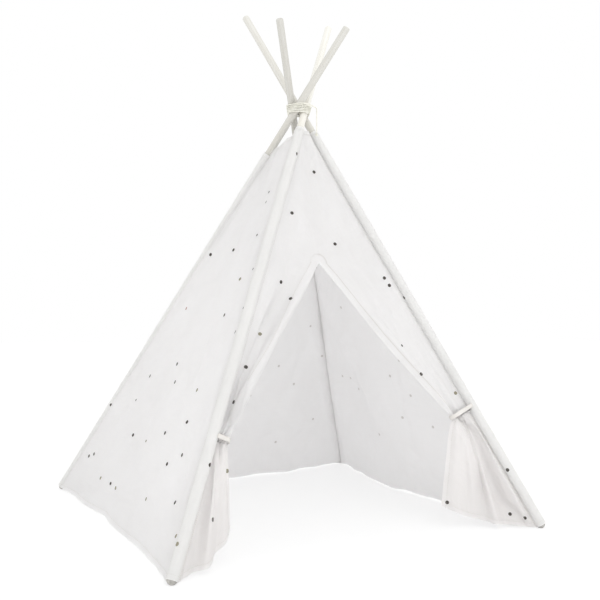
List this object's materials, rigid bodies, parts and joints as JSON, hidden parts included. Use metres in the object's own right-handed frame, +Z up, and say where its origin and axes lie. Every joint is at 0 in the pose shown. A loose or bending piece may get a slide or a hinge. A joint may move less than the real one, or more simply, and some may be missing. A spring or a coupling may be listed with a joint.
{
  "type": "kids teepee",
  "caption": "Free-standing play teepee: jointed wooden poles lashed near the top, a dotted cotton cover with corner sleeves and a door slit tied back at both sides; folds like an umbrella",
  "frame": {"origin": "on the floor under the middle of the four feet", "axes": "+Z up, the door faces -Y, +X to the right as seen from the front"},
  "size_m": [1.1566, 1.1566, 1.5654],
  "materials": {
    "pole_wood": "smooth pale pine, clear matt finish",
    "ferrule_metal": "drawn tube, satin",
    "cap_rubber": "moulded grey rubber, matt",
    "cover_cotton": "off-white woven cotton with small scattered dark dots",
    "tie_tape": "off-white cotton tape",
    "lashing_cord": "braided cotton cord"
  },
  "bodies": {
    "lashing_group": {"lashing": "lashing_cord", "lashing_tail": "lashing_cord", "lashing_tail_knot": "lashing_cord"},
    "front_left_pole": {"pole_lower_front_left": "pole_wood", "pole_upper_front_left": "pole_wood", "ferrule_front_left": "ferrule_metal", "foot_cap_front_left": "cap_rubber", "sleeve_front_left": "cover_cotton"},
    "front_right_pole": {"pole_lower_front_right": "pole_wood", "pole_upper_front_right": "pole_wood", "ferrule_front_right": "ferrule_metal", "foot_cap_front_right": "cap_rubber", "sleeve_front_right": "cover_cotton"},
    "back_right_pole": {"pole_lower_back_right": "pole_wood", "pole_upper_back_right": "pole_wood", "ferrule_back_right": "ferrule_metal", "foot_cap_back_right": "cap_rubber", "sleeve_back_right": "cover_cotton"},
    "back_left_pole": {"pole_lower_back_left": "pole_wood", "pole_upper_back_left": "pole_wood", "ferrule_back_left": "ferrule_metal", "foot_cap_back_left": "cap_rubber", "sleeve_back_left": "cover_cotton"},
    "left_panel_back_half_group": {"left_panel_back_half": "cover_cotton"},
    "left_panel_front_half_group": {"left_panel_front_half": "cover_cotton"},
    "back_panel_left_half_group": {"back_panel_left_half": "cover_cotton"},
    "back_panel_right_half_group": {"back_panel_right_half": "cover_cotton"},
    "right_panel_back_half_group": {"right_panel_back_half": "cover_cotton"},
    "right_panel_front_half_group": {"right_panel_front_half": "cover_cotton"},
    "front_panel_left_half_group": {"front_panel_left_half": "cover_cotton", "door_flap_left": "cover_cotton", "door_tie_left": "tie_tape"},
    "front_panel_right_half_group": {"front_panel_right_half": "cover_cotton", "door_flap_right": "cover_cotton", "door_tie_right": "tie_tape"}
  },
  "joints": [
    {"name": "front_left_fold", "type": "hinge", "parent": "lashing_group", "child": "front_left_pole", "pos_m": [0.01287, -0.11659, 1.25], "axis": [0.613, -0.79, 0], "range_deg": [0, 29.05], "deforming": ["lashing"]},
    {"name": "front_right_fold", "type": "hinge", "parent": "lashing_group", "child": "front_right_pole", "pos_m": [0.0138, -0.08417, 1.25], "axis": [0.6574, 0.7536, 0], "range_deg": [0, 29.07], "deforming": ["lashing"]},
    {"name": "back_right_fold", "type": "hinge", "parent": "lashing_group", "child": "back_right_pole", "pos_m": [-0.01567, -0.08602, 1.25], "axis": [-0.7463, 0.6656, 0], "range_deg": [0, 33.44], "deforming": ["lashing"]},
    {"name": "back_left_fold", "type": "hinge", "parent": "lashing_group", "child": "back_left_pole", "pos_m": [-0.01633, -0.11321, 1.25], "axis": [-0.7774, -0.629, 0], "range_deg": [0, 33.44], "deforming": ["lashing"]},
    {"name": "left_panel_back_half_turn", "type": "hinge", "parent": "back_left_pole", "child": "left_panel_back_half_group", "pos_m": [-0.01633, -0.11321, 1.25], "axis": [-0.3623, 0.4478, -0.8175], "range_deg": [0, 42.85], "deforming": ["left_panel_back_half"]},
    {"name": "left_panel_front_half_turn", "type": "hinge", "parent": "front_left_pole", "child": "left_panel_front_half_group", "pos_m": [0.01287, -0.11659, 1.25], "axis": [0.4019, 0.3118, 0.861], "range_deg": [0, 133.55], "deforming": ["left_panel_front_half"]},
    {"name": "back_panel_left_half_turn", "type": "hinge", "parent": "back_left_pole", "child": "back_panel_left_half_group", "pos_m": [-0.01633, -0.11321, 1.25], "axis": [0.3623, -0.4478, 0.8175], "range_deg": [0, 138.25], "deforming": ["back_panel_left_half"]},
    {"name": "back_panel_right_half_turn", "type": "hinge", "parent": "back_right_pole", "child": "back_panel_right_half_group", "pos_m": [-0.01567, -0.08602, 1.25], "axis": [0.3834, 0.4298, -0.8175], "range_deg": [0, 49.15], "deforming": ["back_panel_right_half"]},
    {"name": "right_panel_back_half_turn", "type": "hinge", "parent": "back_right_pole", "child": "right_panel_back_half_group", "pos_m": [-0.01567, -0.08602, 1.25], "axis": [-0.3834, -0.4298, 0.8175], "range_deg": [0, 138.25], "deforming": ["right_panel_back_half"]},
    {"name": "right_panel_front_half_turn", "type": "hinge", "parent": "front_right_pole", "child": "right_panel_front_half_group", "pos_m": [0.0138, -0.08417, 1.25], "axis": [0.3833, -0.3344, -0.861], "range_deg": [0, 50.45], "deforming": ["right_panel_front_half"]},
    {"name": "front_panel_left_half_turn", "type": "hinge", "parent": "front_left_pole", "child": "front_panel_left_half_group", "pos_m": [0.01287, -0.11659, 1.25], "axis": [-0.4019, -0.3118, -0.861], "range_deg": [0, 42.75], "deforming": ["front_panel_left_half", "door_flap_left"]},
    {"name": "front_panel_right_half_turn", "type": "hinge", "parent": "front_right_pole", "child": "front_panel_right_half_group", "pos_m": [0.0138, -0.08417, 1.25], "axis": [-0.3833, 0.3344, 0.861], "range_deg": [0, 132.05], "deforming": ["front_panel_right_half", "door_flap_right"]}
  ],
  "couplings": [
    {"joint": "front_right_fold", "follows": "front_left_fold", "ratio": 1},
    {"joint": "back_right_fold", "follows": "front_left_fold", "ratio": 1.1503},
    {"joint": "back_left_fold", "follows": "front_left_fold", "ratio": 1.1503},
    {"joint": "left_panel_back_half_turn", "follows": "front_left_fold", "ratio": 1.4733},
    {"joint": "left_panel_front_half_turn", "follows": "front_left_fold", "ratio": 4.5955},
    {"joint": "back_panel_left_half_turn", "follows": "front_left_fold", "ratio": 4.7573},
    {"joint": "back_panel_right_half_turn", "follows": "front_left_fold", "ratio": 1.6902},
    {"joint": "right_panel_back_half_turn", "follows": "front_left_fold", "ratio": 4.7573},
    {"joint": "right_panel_front_half_turn", "follows": "front_left_fold", "ratio": 1.7349},
    {"joint": "front_panel_left_half_turn", "follows": "front_left_fold", "ratio": 1.4699},
    {"joint": "front_panel_right_half_turn", "follows": "front_left_fold", "ratio": 4.5439}
  ]
}
